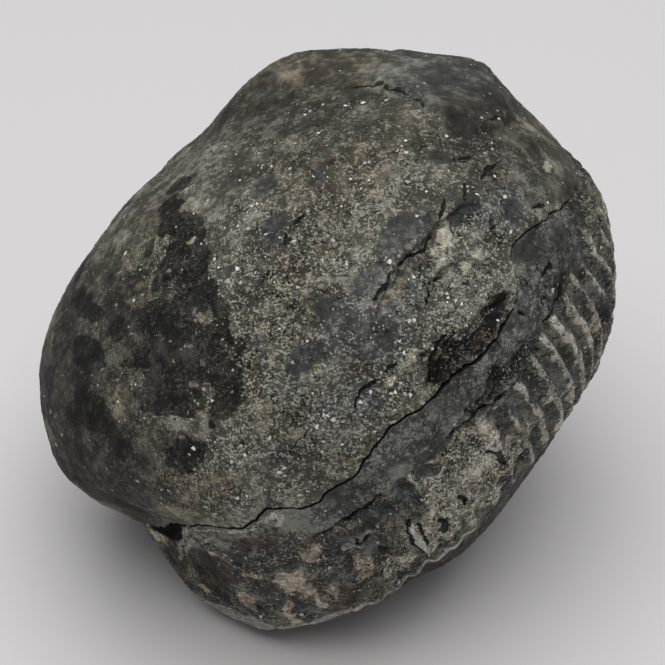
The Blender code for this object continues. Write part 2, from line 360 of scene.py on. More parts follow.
def lined(lines, turn, rise):
    """1 on the middle of any drawn line and 0 past its width in degrees. Each tapers to both its ends."""
    found = np.zeros(len(turn))
    ragged = 1.0 + 0.9 * rough(turn, rise, 1.2 * MM, 3)
    for line in lines:
        legs = len(line.points) - 1
        for leg, ((turn_a, rise_a), (turn_b, rise_b)) in enumerate(zip(line.points, line.points[1:])):
            level = math.cos(math.radians((rise_a + rise_b) / 2.0))
            x, y = turn_between(turn, turn_a) * level, rise - rise_a
            dx, dy = (turn_b - turn_a) * level, rise_b - rise_a
            share = np.clip((x * dx + y * dy) / (dx * dx + dy * dy), 0.0, 1.0)
            along = (leg + share) / legs
            width = line.width * (0.35 + 0.85 * np.sqrt(4.0 * along * (1.0 - along)))
            away = np.hypot(x - share * dx, y - share * dy) / (width * ragged)
            found = np.maximum(found, ramp(away, 1.0, 0.35))
    return found


# What shows on the rim: bare sandy matrix, remains of dark shell, tan fillings, pale worn edges with a
# painted highlight along the lower rim, dark slots and pits painted with their shade, smooth rusty stone, a
# white sliver of shell in a slot, and the lip over the underside, painted pale for the light bounced up onto
# it
BARE_MATRIX = patches(
    (90, -22, 6, 12, 1.0), (98, -17, 8, 9, 1.0), (97, -30, 9, 11, 1.0), (106, -30, 6, 9, 0.8),
    (78, -30, 5, 9, 0.9), (68, -33, 6, 6, 0.7), (84, -30, 5, 9, 1.0), (112, -27, 4, 7, 0.6),
    (122, -24.5, 2.5, 2.5, 0.8), (127, -28, 2.0, 2.0, 0.6),
)
SHELL_PATCHES = patches(
    (82.3, -14, 2.6, 5.0, 1.0), (89, -12.5, 3.0, 2.2, 1.0), (100, -16, 1.2, 2.4, 1.0),
    (108, -13, 2.4, 3.0, 0.9), (111.6, -15.5, 1.8, 5.5, 1.1), (116.6, -16.5, 1.7, 5.5, 1.1),
    (106.8, -20, 1.5, 2.5, 1.0), (121.8, -16.5, 1.4, 4.5, 1.1), (75, -15, 5, 4.0, 0.8),
    (68, -24, 3.0, 3.0, 1.3), (59.5, -25.5, 3.0, 3.0, 1.2), (43.5, -30.5, 2.8, 2.6, 1.3),
    (40, -23.5, 2.2, 5.0, 1.1), (64, -16, 5, 5, 0.6), (128, -20, 1.3, 6.0, 1.0),
    (133.5, -18, 1.3, 6.0, 0.9), (121, -31, 2.0, 5, 0.9), (132, -27, 2.2, 3, 1.0),
    (115.8, -33, 1.7, 4.5, 1.1), (102.3, -37, 2.2, 2.0, 1.0), (110, -36, 1.8, 2.0, 0.9),
    (138, -12, 2, 3, 0.8), (126.5, -27, 1.5, 2.5, 0.9), (143.5, -17, 1.5, 4.5, 0.9),
    (149, -22, 1.5, 5.5, 0.9), (118, -40, 4, 2, 0.6),
)
TAN_PATCHES = patches(
    (49, -20, 3.2, 3.2, 1.2), (49.5, -24.5, 2.0, 2.6, 1.2), (46, -23.5, 2.2, 1.4, 0.9),
    (58.5, -14.5, 2.0, 2.6, 1.0), (42, -17, 2.4, 1.6, 0.9), (32.5, -24, 2.4, 2.4, 1.1),
    (80.5, -27.5, 1.5, 2.5, 0.8), (9.5, -11.5, 3.0, 1.6, 1.0), (64, -26, 2.5, 5, 0.6),
    (142.5, -20, 1.6, 5.0, 1.0), (20, -22, 2.5, 2.0, 0.6), (62, -29, 2, 2, 0.9), (36, -11, 3, 1.2, 0.6),
    (54, -28, 2, 3, 0.6),
)
TAN_LINES = (Line(((43, -26), (39.5, -30), (38, -33), (33, -37)), 0.9), Line(((50, -27), (47, -33)), 0.7))
PALE_LINES = (
    Line(((36.5, -1.8), (30, -4.6), (25, -8.0), (20, -12.2), (16, -16)), 1.3),
    Line(((33, -6.0), (27, -9.5), (20, -14.0)), 0.8),
    Line(((41, -4.0), (34, -7.0)), 0.6),
    Line(((37, -1.6), (41, -1.2), (46, -1.8), (50, -2.9), (53, -3.0), (56.5, -1.8)), 0.45),
    # painted highlight: the pale line along the rounded lower rim, where it catches the light
    Line(((36, -38.2), (50, -40.2), (60, -41.3), (70, -41.4)), 0.7),
    Line(((56.8, -2.7), (57.6, -1.4), (59.2, -1.2), (60.6, -2.3), (59.4, -3.6), (57.6, -3.8)), 0.5),
    Line(((124.2, -13), (125.8, -17), (127.5, -22), (129.2, -26), (131.0, -30)), 0.55),
    Line(((119.6, -13), (120.8, -18), (121.6, -21), (123.0, -26)), 0.40),
    Line(((64, -18), (66, -19.3)), 0.8),
    Line(((69.5, -18), (71, -19)), 0.7),
)
# The slots are cut in and painted near black as painted shade in them
SLOTS = (
    Line(((79, -20.5), (77.6, -23.5), (76, -28), (75.0, -33), (74.6, -36)), 1.0),
    Line(((79.6, -24), (78.4, -29), (77.0, -34)), 0.6),
    Line(((83.8, -28), (83.4, -32), (82.2, -36)), 1.3),
    Line(((101, -20), (103.3, -24), (104, -29), (104.4, -31)), 0.9),
    Line(((90.6, -26), (91, -31)), 0.8),
    Line(((62, -10.8), (68, -11.2), (72, -10.8), (79, -10.4)), 0.6),
    Line(((98, -8.6), (104, -8.8), (108, -10), (113, -10.8), (117, -10.2)), 0.5),
    Line(((127, -6.8), (133, -5.9), (136, -5.0)), 0.8),
    Line(((132, 0.1), (134.5, -0.2), (135.6, -0.9)), 0.6),
    Line(((68, -17), (67, -19), (70, -20)), 0.7),
    Line(((122.4, 0.5), (123, -1.5)), 0.4),
)
# painted shade: the pits are cut in and coloured near black for the shade in them
SHADED_RIM_PITS = patches(
    (110.2, -4.6, 2.0, 1.8, 1.1), (109, -7.0, 3.0, 2.0, 1.2), (113, -7.2, 3.2, 2.0, 1.2),
    (117.2, -6.4, 3.0, 1.6, 1.1), (120.6, -7.4, 2.2, 1.3, 1.0), (105.5, -7.6, 2.2, 1.3, 1.0),
    (102.5, -6.6, 2.0, 1.2, 0.8), (111.0, -33.5, 1.2, 1.2, 0.8), (69.5, -26, 1.5, 2, 0.7),
    (129, -3.2, 1.2, 1.0, 0.9), (97, -8.3, 2.5, 0.8, 0.7), (121.5, -9.6, 1.0, 1.2, 0.8),
    (123.5, -12.5, 1.0, 0.8, 0.8), (46.5, -24, 0.8, 0.8, 0.9),
)
RUST_PATCHES = patches(
    (134, -4.6, 5.0, 1.8, 1.1), (29.5, -15, 8, 4.0, 1.4), (25, -19, 4, 2.5, 1.2), (50, -7, 8, 4, 0.6),
    (14, -16, 7, 3, 0.7),
)
WHITE_SLIVER = (Line(((78.1, -23.0), (77.4, -27), (76.5, -31), (75.8, -34.2)), 0.9),)
HEEL_LIP = Swell(26, -34, 1.1 * MM, 9, 4.5)
# painted light: the lip over the underside is painted pale for the light bounced up onto it from the ground
BOUNCE_LIT_LIP = patches(
    (14, -27, 5, 2.4, 1.0), (20, -29.5, 5, 3.0, 1.3), (26, -32.5, 4.5, 3.4, 1.4),
    (32, -36, 4, 2.4, 1.3), (40, -38, 6, 1.4, 1.0), (50, -40, 7, 1.2, 0.9), (62, -42, 9, 1.2, 0.8),
    (78, -43, 10, 1.4, 0.7),
)
PEBBLE = Swell(58.6, -2.4, 0.35 * MM, 2.1, 1.5)

BROAD_WAVER, FINE_WAVER = (2.4 * MM, 1.0), (1.6 * MM, 0.4)  # size of the pushes, and their swing in degrees
MATRIX_STAND, MATRIX_LUMPS, RIM_WEAR = 0.12 * MM, 0.22 * MM, 0.14 * MM
SHELL_DROP, SLOT_DEPTH, PIT_DEPTH = 0.14 * MM, 0.45 * MM, 0.35 * MM
PALE_LINE_STAND, SLIVER_HEIGHT = 0.18 * MM, 0.8 * MM


def base_relief(turn, rise):
    """How far the ribbed half's skin stands out from the body."""
    layer, below = layer_and_below(turn, rise)
    underside = ramp(rise, UNDERSIDE_FROM, RIB_BOTTOM)
    drawn, etched = wavered(turn, rise, *BROAD_WAVER), wavered(turn, rise, *FINE_WAVER)
    matrix = patched(BARE_MATRIX, *drawn)
    shell = ramp(patched(SHELL_PATCHES, *drawn), 0.40, 0.60)
    relief = -LEDGE_DROP * layer * below * (1.0 - underside) - UNDERSIDE_DROP * underside
    ribs = rib_crest(turn, rise, RIB_SHARPNESS) * (1.0 - layer + layer * below) * ramp(rise, -1.0, -5.0)
    relief += RIB_HEIGHT * ribs * (1.0 - 0.75 * matrix)
    relief += matrix * below * (MATRIX_LUMPS * rough(turn, rise, 1.5 * MM, 4) + MATRIX_STAND)
    relief += RIM_WEAR * np.maximum(matrix * below, 0.4) * fine_wear(turn, rise)
    relief -= SHELL_DROP * shell * below
    pits = ramp(patched(SHADED_RIM_PITS, *drawn), 0.3, 0.7)
    relief -= SLOT_DEPTH * lined(SLOTS, *etched) + PIT_DEPTH * pits
    relief += PALE_LINE_STAND * lined(PALE_LINES, *etched) + SLIVER_HEIGHT * lined(WHITE_SLIVER, *etched)
    relief += swelling(PEBBLE, turn, rise) + swelling(END_HOLLOW, turn, rise)
    relief += swelling(HEEL_LIP, turn, rise)
    return relief + weathering(turn, rise)


def base_edge_drop(turn):
    """How far the edge of the ribbed half drops away from the parting, which opens the notch."""
    from_front = ramp(turn, NOTCH_FROM, NOTCH_FROM - NOTCH_FADE)
    return NOTCH_DROP * from_front * ramp(turn, NOTCH_TO, NOTCH_TO + NOTCH_FADE)


def base_fields(turn, rise):
    """How much of each finish lies where on the ribbed half."""
    layer, below = layer_and_below(turn, rise)
    banded = below * layer + (1.0 - layer) * ramp(rise, -2.0, -8.0)
    drawn, etched = wavered(turn, rise, *BROAD_WAVER), wavered(turn, rise, *FINE_WAVER)
    matrix = patched(BARE_MATRIX, *drawn) * below
    ribbed = ramp(turn % 360.0, 74.0, 84.0) * banded * ramp(rise, -45.0, -40.0)
    pitted = patched(SHADED_RIM_PITS, *drawn)
    rust = patched(RUST_PATCHES, *drawn)
    above_foot = ramp(rise, UNDERSIDE_FROM, -38.0)
    plain = 0.36 * (1.0 - layer * (1.0 - below)) * above_foot * (1.0 - ramp(rust, 0.2, 0.6))
    faded = ramp(turn % 360.0, 135.0, 143.0) + ramp(turn % 360.0, 120.0, 108.0)
    return {
        "layer": layer * (1.0 - below),
        "ribbed": ribbed,
        "crest": rib_crest(*drawn, PALE_STRIPE_SHARPNESS) * ribbed * (1.0 - 0.4 * matrix) * (1.0 - 0.4 * faded),
        "matrix": matrix,
        "shell": patched(SHELL_PATCHES, *drawn) * np.maximum(below, 1.0 - layer),
        "tan": np.maximum(patched(TAN_PATCHES, *drawn), lined(TAN_LINES, *drawn)),
        "rust": rust,
        "pale edge": lined(PALE_LINES, *etched),
        "dark": lined(SLOTS, *etched),
        "pit": pitted,
        "white": lined(WHITE_SLIVER, *etched),
        # painted shade: the band under the rim is coloured dark for the shadow under the stone
        "underside": ramp(rise, -41.0, -45.0),
        # painted light on the lip
        "lip": patched(BOUNCE_LIT_LIP, *drawn),
        "grain": np.maximum.reduce((matrix, 0.9 * pitted, plain)),
    }


def display(red, green, blue):
    """A colour as Blender stores it, from the 0 to 255 values that a screen shows for it."""
    shares = (np.array((red, green, blue)) / 255.0 + 0.055) / 1.055
    return (*(shares**2.4).tolist(), 1.0)


def add(tree, kind, sockets=(), **settings):
    """A new node. sockets gives its inputs, by name or number, as values or as the outputs of others."""
    made = tree.nodes.new(kind)
    for name, value in settings.items():
        setattr(made, name, value)
    for name, value in dict(sockets).items():
        if isinstance(value, bpy.types.NodeSocket):
            tree.links.new(value, made.inputs[name])
        else:
            made.inputs[name].default_value = value
    return made


def maths(tree, operation, first, second):
    return add(tree, "ShaderNodeMath", {0: first, 1: second}, operation=operation).outputs[0]


def total(tree, *terms):
    """The sum of (share, value) terms."""
    found = 0.0
    for share, value in terms:
        term = add(tree, "ShaderNodeMath", {0: value, 1: share, 2: found}, operation="MULTIPLY_ADD")
        found = term.outputs[0]
    return found


def ranged(tree, value, low, high):
    """0 where value is below low and 1 where it is above high, smooth between them."""
    made = add(tree, "ShaderNodeMapRange", {0: value, 1: low, 2: high}, interpolation_type="SMOOTHSTEP")
    return made.outputs[0]


def mixed(tree, share, first, second):
    """first where share is 0, second where it is 1."""
    return add(tree, "ShaderNodeMix", {0: share, 6: first, 7: second}, data_type="RGBA").outputs[2]


def new_group(name, inputs, outputs):
    """A node group, with its tree, the outputs of its input node and the inputs of its output node."""
    tree = bpy.data.node_groups.new(name, "ShaderNodeTree")
    for label, value in inputs.items():
        kind = "NodeSocketFloat" if isinstance(value, float) else "NodeSocketColor"
        tree.interface.new_socket(label, in_out="INPUT", socket_type=kind).default_value = value
    for label in outputs:
        kind = "NodeSocketColor" if label == "Color" else "NodeSocketFloat"
        tree.interface.new_socket(label, in_out="OUTPUT", socket_type=kind)
    return tree, add(tree, "NodeGroupInput").outputs, add(tree, "NodeGroupOutput").inputs


def grouped(tree, group, sockets):
    """The outputs of a group that is placed in a material."""
    return add(tree, "ShaderNodeGroup", sockets, node_tree=group).outputs


def mottle(tree, size, detail=1.0, roughness=0.5):
    """Noise on the object's own coordinates, from about -0.3 to 0.3, with spots of that size in metres."""
    place = add(tree, "ShaderNodeTexCoord").outputs["Object"]
    spots = {"Vector": place, "Scale": maths(tree, "DIVIDE", 1.0, size)}
    made = add(tree, "ShaderNodeTexNoise", {**spots, "Detail": detail, "Roughness": roughness})
    return maths(tree, "SUBTRACT", made.outputs["Fac"], 0.5)


def thin_lines(tree, size, width, spread):
    """Thin wandering lines, which come in scattered groups of that spread."""
    lines = ranged(tree, maths(tree, "ABSOLUTE", mottle(tree, size, 2.0), 0.0), width, 0.0)
    return maths(tree, "MULTIPLY", lines, ranged(tree, mottle(tree, spread, 2.0), -0.02, 0.08))


# Stone grain: how light a spot of the stone is, from its broad mottling down to its smallest grains. Cloud
# is how much of the mottling shows and Grit how much of the small grain, Wear is above 0 where the stone
# stands proud, and paints it lighter there and darker in its hollows as painted light and shade, and Drift
# wanders slowly between the warmer and the greener stone.
stone_grain, given, out = new_group(
    "stone grain", {"Cloud": 0.8, "Grit": 1.0, "Wear And Shade": 0.0}, ("Tone", "Height", "Drift")
)
tree = stone_grain
broad, middle = mottle(tree, 0.0075, 2.0), mottle(tree, 0.0026, 2.0)
coarse, small, smallest = mottle(tree, 0.0010), mottle(tree, 0.00044), mottle(tree, 0.00025, 0.0)
grains = total(tree, (0.70, coarse), (1.0, small), (1.1, smallest))
raised = maths(tree, "ABSOLUTE", grains, 0.0)
scratches = thin_lines(tree, 0.0011, 0.030, 0.0031)
creases = thin_lines(tree, 0.0019, 0.020, 0.0043)
grit = total(tree, (0.80, grains), (0.60, raised), (0.55, scratches), (-0.60, creases))
gathering = total(tree, (2.6, mottle(tree, 0.0034)), (1.0, 1.0))
grit = maths(tree, "MULTIPLY", maths(tree, "MULTIPLY", grit, gathering), given["Grit"])
# painted light and shade: the tone is lighter on the small lumps and darker in the hollows
worn = maths(tree, "MULTIPLY", given["Wear And Shade"], 0.28)
clouds = maths(tree, "MULTIPLY", total(tree, (1.0, broad), (1.0, middle)), given["Cloud"])
tree.links.new(total(tree, (1.0, clouds), (1.0, worn), (1.0, grit)), out["Tone"])
tree.links.new(total(tree, (0.5, middle), (0.7, grit)), out["Height"])
tree.links.new(total(tree, (1.0, mottle(tree, 0.011)), (0.8, mottle(tree, 0.0019))), out["Drift"])

# Three tones: the colour of a finish where the stone's own tone is dark, middling or pale
TONE_REACH = 0.42  # the tone at which the dark and the pale are reached
three_tones, given, out = new_group(
    "three tones",
    {"Tone": 0.0, "Dark": display(46, 44, 39), "Body": display(88, 86, 78), "Pale": display(140, 136, 124)},
    ("Color",),
)
tree = three_tones
above = add(tree, "ShaderNodeMapRange", {0: given["Tone"], 1: 0.0, 2: TONE_REACH}).outputs[0]
below = add(tree, "ShaderNodeMapRange", {0: given["Tone"], 1: 0.0, 2: -TONE_REACH}).outputs[0]
upper = mixed(tree, above, given["Body"], given["Pale"])
tree.links.new(mixed(tree, below, upper, given["Dark"]), out["Color"])

# Crystals: grains of uneven size and shape that lie in clusters in the stone, each in a wider ring of
# painted shadow
crystals, given, out = new_group("crystals", {"Size": 0.0006, "Share": 0.3, "Girth": 0.34}, ("Mask", "Shadow Ring"))
tree = crystals
place = add(tree, "ShaderNodeTexCoord").outputs["Object"]
density = maths(tree, "DIVIDE", 1.0, given["Size"])
unevenness = maths(tree, "MULTIPLY", density, 1.8)
warp = add(tree, "ShaderNodeTexNoise", {"Vector": place, "Scale": unevenness, "Detail": 1.0})
push = {0: warp.outputs["Color"], 1: (0.5, 0.5, 0.5)}
push = add(tree, "ShaderNodeVectorMath", push, operation="SUBTRACT").outputs[0]
swing = maths(tree, "MULTIPLY", given["Size"], 0.9)
push = add(tree, "ShaderNodeVectorMath", {0: push, "Scale": swing}, operation="SCALE").outputs[0]
shifted = add(tree, "ShaderNodeVectorMath", {0: place, 1: push}, operation="ADD").outputs[0]
cells = add(tree, "ShaderNodeTexVoronoi", {"Vector": shifted, "Scale": density})
random = add(tree, "ShaderNodeSeparateColor", {0: cells.outputs["Color"]}).outputs
clusters = total(tree, (8.0, mottle(tree, maths(tree, "MULTIPLY", given["Size"], 7.0), 2.0)), (1.0, 0.9))
present = maths(tree, "LESS_THAN", random[0], maths(tree, "MULTIPLY", given["Share"], clusters))
radius = maths(tree, "MULTIPLY", given["Girth"], total(tree, (1.0, random[1]), (1.0, 0.35)))
depth = maths(tree, "SUBTRACT", radius, cells.outputs["Distance"])
inside = maths(tree, "MULTIPLY", ranged(tree, depth, -0.05, 0.07), present)
tree.links.new(maths(tree, "MULTIPLY", inside, total(tree, (0.75, random[2]), (1.0, 0.25))), out["Mask"])
# painted shadow: a wider dark ring round each crystal
tree.links.new(maths(tree, "MULTIPLY", ranged(tree, depth, -0.30, -0.08), present), out["Shadow Ring"])

# Ragged patch: turns a soft field into a patch that breaks up into specks at its edge
PATCH_EDGE = 0.45  # the edge of a patch lies where its field has this value
ragged_patch, given, out = new_group(
    "ragged patch", {"Field": 0.0, "Size": 0.0015, "Raggedness": 1.0, "Softness": 0.12}, ("Mask",)
)
tree = ragged_patch
broken = maths(tree, "MULTIPLY", mottle(tree, given["Size"], 5.0, 0.72), given["Raggedness"])
low = maths(tree, "SUBTRACT", PATCH_EDGE, given["Softness"])
high = maths(tree, "ADD", PATCH_EDGE, given["Softness"])
tree.links.new(ranged(tree, maths(tree, "ADD", given["Field"], broken), low, high), out["Mask"])


def field(tree, label):
    """One of the half's own fields, which its mesh carries as an attribute."""
    return add(tree, "ShaderNodeAttribute", attribute_name=label).outputs["Fac"]


def patch_of(tree, label, size, raggedness=1.0, softness=0.12, strength=1.0):
    """The mask of one of the half's fields, with its edge broken."""
    values = {"Field": field(tree, label), "Size": size, "Raggedness": raggedness, "Softness": softness}
    return maths(tree, "MULTIPLY", grouped(tree, ragged_patch, values)["Mask"], strength)


def toned(tree, tone, dark, body, pale):
    """The colour of a finish whose dark, middling and pale tones are given from 0 to 255."""
    values = {"Tone": tone, "Dark": display(*dark), "Body": display(*body), "Pale": display(*pale)}
    return grouped(tree, three_tones, values)["Color"]


def with_crystals(tree, colour, size, share, girth, shown, shadow_ring=0.5):
    """The colour with crystals of another one in it, each ringed by a painted shadow, and the mask of the
    crystals.
    """
    made = grouped(tree, crystals, {"Size": size, "Share": share, "Girth": girth})
    # painted shadow round each crystal
    colour = mixed(tree, maths(tree, "MULTIPLY", made["Shadow Ring"], shadow_ring), colour, display(30, 29, 26))
    return mixed(tree, made["Mask"], colour, display(*shown)), made["Mask"]


def new_material(name):
    """A new material, its tree, and its shader."""
    material = bpy.data.materials.new(name)
    material.use_nodes = True
    return material, material.node_tree, material.node_tree.nodes["Principled BSDF"]


STONE_ROUGHNESS, STONE_SHEEN = 0.80, 0.22
BUMP_STRENGTH, BUMP_HEIGHT = 0.8, 0.4 * MM


def finish_stone(tree, shader, colour, height):
    """Puts the colour, the dull sheen of worn stone and its finest bumps on a shader."""
    tree.links.new(colour, shader.inputs["Base Color"])
    shader.inputs["Roughness"].default_value = STONE_ROUGHNESS
    shader.inputs["Specular IOR Level"].default_value = STONE_SHEEN
    bumps = {"Strength": BUMP_STRENGTH, "Distance": BUMP_HEIGHT, "Height": height}
    tree.links.new(add(tree, "ShaderNodeBump", bumps).outputs[0], shader.inputs["Normal"])


# The finishes of the ribbed half, each over those before it: the field that says where it lies, the size of
# the specks at its edge, how ragged, soft and strong it is, and its dark, middling and pale tones
Finish = namedtuple("Finish", "where size raggedness softness strength dark body pale")
RIM_FINISHES = (
    Finish("layer", 0.002, 0.5, 0.12, 1.0, (29, 31, 29), (75, 76, 71), (140, 141, 133)),
    Finish("ribbed", 0.002, 0.5, 0.12, 1.0, (26, 27, 25), (72, 71, 66), (134, 131, 121)),
    Finish("matrix", 0.0016, 1.2, 0.12, 1.0, (48, 44, 35), (160, 152, 134), (232, 227, 212)),
    # partly a painted highlight: the crests are painted pale where they catch the light
    Finish("crest", 0.0011, 1.0, 0.12, 0.9, (84, 80, 72), (158, 152, 140), (222, 217, 205)),
    Finish("shell", 0.0010, 0.8, 0.07, 1.0, (28, 30, 29), (66, 69, 66), (126, 128, 122)),
    # painted shade in the pits
    Finish("pit", 0.0010, 1.1, 0.10, 1.0, (10, 10, 10), (36, 36, 35), (104, 104, 99)),
    Finish("rust", 0.0020, 0.9, 0.08, 1.0, (26, 23, 19), (57, 51, 44), (98, 89, 79)),
    Finish("tan", 0.0017, 1.7, 0.06, 1.0, (86, 77, 66), (156, 144, 128), (210, 199, 182)),
    Finish("pale edge", 0.0007, 2.2, 0.12, 0.9, (84, 82, 75), (126, 124, 115), (186, 184, 176)),
    # painted shade under the rim
    Finish("underside", 0.002, 0.4, 0.12, 1.0, (34, 32, 29), (62, 59, 55), (106, 102, 95)),
    # painted light: pale tones for the light bounced up onto the lip
    Finish("lip", 0.0016, 0.8, 0.12, 1.0, (104, 101, 95), (156, 153, 146), (200, 197, 190)),
)


def masks_of(tree, finishes):
    """The mask of each finish, by the name of its field."""
    return {finish.where: patch_of(tree, *finish[:5]) for finish in finishes}


def covered(tree, colour, tone, finishes, masks):
    """The colour with the finishes laid over it in their order."""
    for finish in finishes:
        colour = mixed(tree, masks[finish.where], colour, toned(tree, tone, *finish[5:]))
    return colour


rib_stone, tree, shader = new_material("rib stone")
masks = masks_of(tree, RIM_FINISHES)
grit = total(tree, (1.45, field(tree, "grain")), (1.0, 0.60))
grit = maths(tree, "MULTIPLY", grit, total(tree, (-0.5, masks["shell"]), (1.0, 1.0)))
grain = grouped(tree, stone_grain, {"Cloud": 0.95, "Grit": grit, "Wear And Shade": field(tree, "wear")})
tone, drift = grain["Tone"], grain["Drift"]
colour = toned(tree, tone, (24, 25, 22), (68, 67, 61), (142, 140, 130))
brown = toned(tree, tone, (30, 27, 23), (77, 72, 64), (146, 138, 123))
colour = mixed(tree, ranged(tree, drift, -0.1, 0.25), colour, brown)
colour = covered(tree, colour, tone, RIM_FINISHES, masks)
# painted shade: tiny pores coloured dark for the shade in them
pores = maths(tree, "MULTIPLY", field(tree, "grain"), 0.34)
colour, holes = with_crystals(tree, colour, 0.00050, pores, 0.36, (32, 29, 24), 0.0)
coarse = maths(tree, "MULTIPLY", field(tree, "grain"), field(tree, "grain"))
common = total(tree, (0.60, coarse), (1.0, 0.02))
colour, grains = with_crystals(tree, colour, 0.00040, common, 0.40, (196, 192, 180), 0.8)
# partly painted highlights: rare white specks for pale grains and for glints of light on them
rare_glints = maths(tree, "MULTIPLY", common, 0.5)
colour, lumps = with_crystals(tree, colour, 0.00065, rare_glints, 0.36, (226, 222, 210), 0.7)
# painted shade in the slots
colour = mixed(tree, patch_of(tree, "dark", 0.0007, 1.1, 0.15, 0.9), colour, display(14, 13, 12))
whitish = toned(tree, tone, (140, 138, 132), (216, 214, 209), (242, 241, 238))
colour = mixed(tree, patch_of(tree, "white", 0.0007, 1.4, 0.08), colour, whitish)
# the broken face is dark brown, darkened further as painted shade in the gap
colour = mixed(tree, field(tree, "shaded broken face"), colour, display(34, 31, 27))
height = total(tree, (1.0, grain["Height"]), (0.35, grains), (0.4, lumps), (-0.4, holes))
finish_stone(tree, shader, colour, height)

ribbed_half = half_nodule("ribbed_half_stone", -1, base_relief, base_edge_drop, base_fields, rib_stone)
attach(ribbed_half, "root")
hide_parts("ribbed_half")

# ----------------------------------------------------------------------------------------------------------
# Matrix cap: the domed upper half of the nodule, hard matrix rock with a smooth crust left at one end.
# River wear has rounded it, and flakes, chips and black stains mark it. It lies loose on the ribbed half.

CRUST_PLATE = Swell(173, 30, 0.7 * MM, 20, 13)
CRUST_EDGE = (
    (140, 20), (150, 27), (160, 33.5), (165.5, 36), (169.5, 38.8), (172.5, 41.5), (177, 47.5),
    (185.5, 51.5), (195, 55), (205.5, 59.5), (213, 62), (235, 64), (260, 60), (300, 40), (330, 10),
)
CRUST_STEP, CRUST_SOFTNESS = 0.22 * MM, 0.7
HOLLOW_BY_CRUST = Swell(151, 27.5, -1.2 * MM, 4.5, 3.5)
EDGE_CHIP = Swell(111, 1.0, 1.5 * MM, 14, 5.8)
CHIP_ROUGHNESS = 0.35 * MM
CHIP_LIP = 3.5  # the chip is shallower within this of the parting
CHIP_STAINS = patches(
    (103.5, 5, 4.5, 3.6, 1.3), (108, 3, 4, 2.4, 1.2), (113, 1.8, 4.5, 1.8, 1.1),
    (119.5, 4.0, 3.6, 2.6, 1.2),
)
FLAKE_SCARS = (Swell(117, 19, 0.8 * MM, 17, 5), Swell(115, 12, 0.7 * MM, 9, 5))

# Cracks and the steps that flakes have left, with the edge of the crust, cut in and painted near black as
# painted shade in them
FLAKE_LINE_DEPTH = 0.3 * MM
FLAKE_LINES = (
    Line(((102, 22.6), (105, 22.6), (108.6, 23.8)), 0.6),
    Line(((111.5, 24.0), (115, 23.5), (118, 22.0), (122, 22.4)), 0.32),
    Line(((126, 23.3), (131, 24.2)), 0.36),
    Line(((108.6, 13.6), (112, 17.2), (116.2, 15.6)), 0.34),
    Line(((99.5, 3.4), (101.8, 6.4), (105, 8.0), (109, 8.2)), 0.35),
    Line(((104, 47), (107, 46.5)), 0.5),
    Line(((96.5, 45), (98.5, 46)), 0.5),
    Line(((85, 9), (88, 11), (92, 10.4)), 0.45),
    Line(((94, 10.6), (97, 11)), 0.35),
    Line(((140, 20), (144, 19.6), (148, 18.2)), 0.42),
    Line(((143, 26), (147, 22)), 0.36),
    Line(((98.5, 2.2), (102, 5.2), (106, 6.6), (110, 6.8)), 0.5),
    Line(((133, 21), (137, 22.5)), 0.34),
    Line(((163, 19.5), (158, 21.5)), 0.34),
    Line(((177, 47.9), (172.5, 42.0), (169.5, 39.3), (165.5, 36.5), (160, 34)), 0.34),
    Line(((141.5, 8.9), (144, 6.8)), 0.45),
)

# Where the finishes of the cap lie: black stains, the dull side (darker stone with painted shade) and crust,
# smooth slate-grey plates, pits, cooler, warmer and tan stone, chalky spots, and the areas of coarse grain
# and of fine pale crystals
STAINS = patches(
    (18, 83, 4.5, 3.5, 1.3), (32, 76, 4, 3, 1.3), (42, 74, 4, 3.5, 1.4), (50, 69, 4.5, 3.5, 1.5),
    (60, 65.5, 4.5, 4, 1.8), (60, 61, 5, 4, 1.9), (56, 57, 5, 4, 1.6), (66, 56, 3.2, 3.5, 1.8),
    (63, 50.5, 4.5, 4, 1.8), (65.5, 46, 3.5, 4, 1.7), (59, 46, 4.5, 3.5, 1.3), (56, 40, 5, 5, 1.2),
    (69.5, 40, 1.8, 4, 1.2), (64.5, 35.5, 4.5, 3.0, 1.9), (66, 31.5, 4, 4, 2.0), (60, 32, 5, 4, 1.6),
    (65, 26.5, 3, 4, 1.9), (62, 22.5, 4, 3, 1.3), (49, 44, 6, 4, 0.9), (44, 37, 6, 4, 0.9),
    (52, 34, 8, 6, 1.0), (47, 29, 8, 5, 0.9), (54, 26, 5, 4, 0.9), (22, 26, 8, 3.6, 1.5),
    (34, 19, 3, 3, 0.9), (5, 46, 13, 2.8, 1.0), (18, 38, 10, 4, 0.8), (48, 16, 7, 4.5, 0.85),
    (20, 1, 9, 4, 0.7), (30, 43, 5, 3, 0.8), (34, 63, 4, 3, 0.8), (-20, 47, 7, 3, 0.9),
    (8, 10, 6, 3, 0.5),
)
